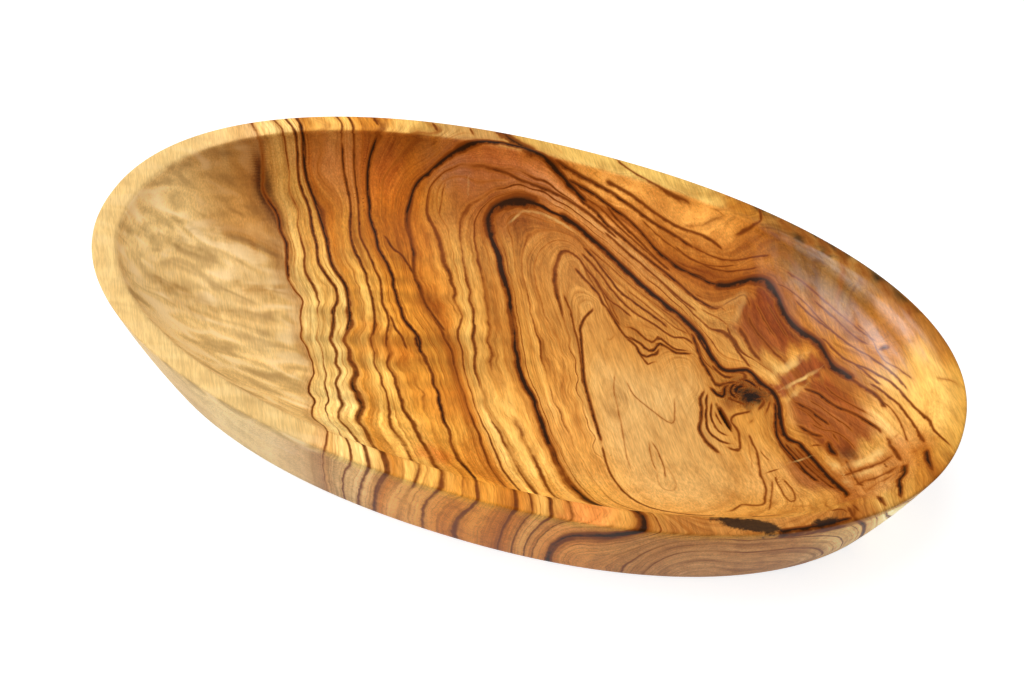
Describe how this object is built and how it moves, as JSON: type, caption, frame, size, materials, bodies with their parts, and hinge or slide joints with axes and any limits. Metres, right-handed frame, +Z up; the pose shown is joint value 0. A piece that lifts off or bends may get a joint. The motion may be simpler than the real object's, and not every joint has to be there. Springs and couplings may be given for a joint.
{
  "type": "wooden bowl",
  "caption": "Shallow oval bowl hollowed from a single block of olive wood, with a flat rim, tapering outer wall and flat base, for serving bread, fruit or snacks.",
  "frame": {"origin": "middle of the flat base, on the surface that the bowl stands on", "axes": "+X along the bowl's length, +Y across it, +Z up out of the hollow"},
  "size_m": [0.2994, 0.1536, 0.04],
  "materials": {
    "olive_wood": "hand-sanded olive wood with dark wavy growth lines and pale sapwood, oiled to a satin gloss"
  },
  "bodies": {
    "root": {"bowl": "olive_wood"}
  },
  "joints": []
}
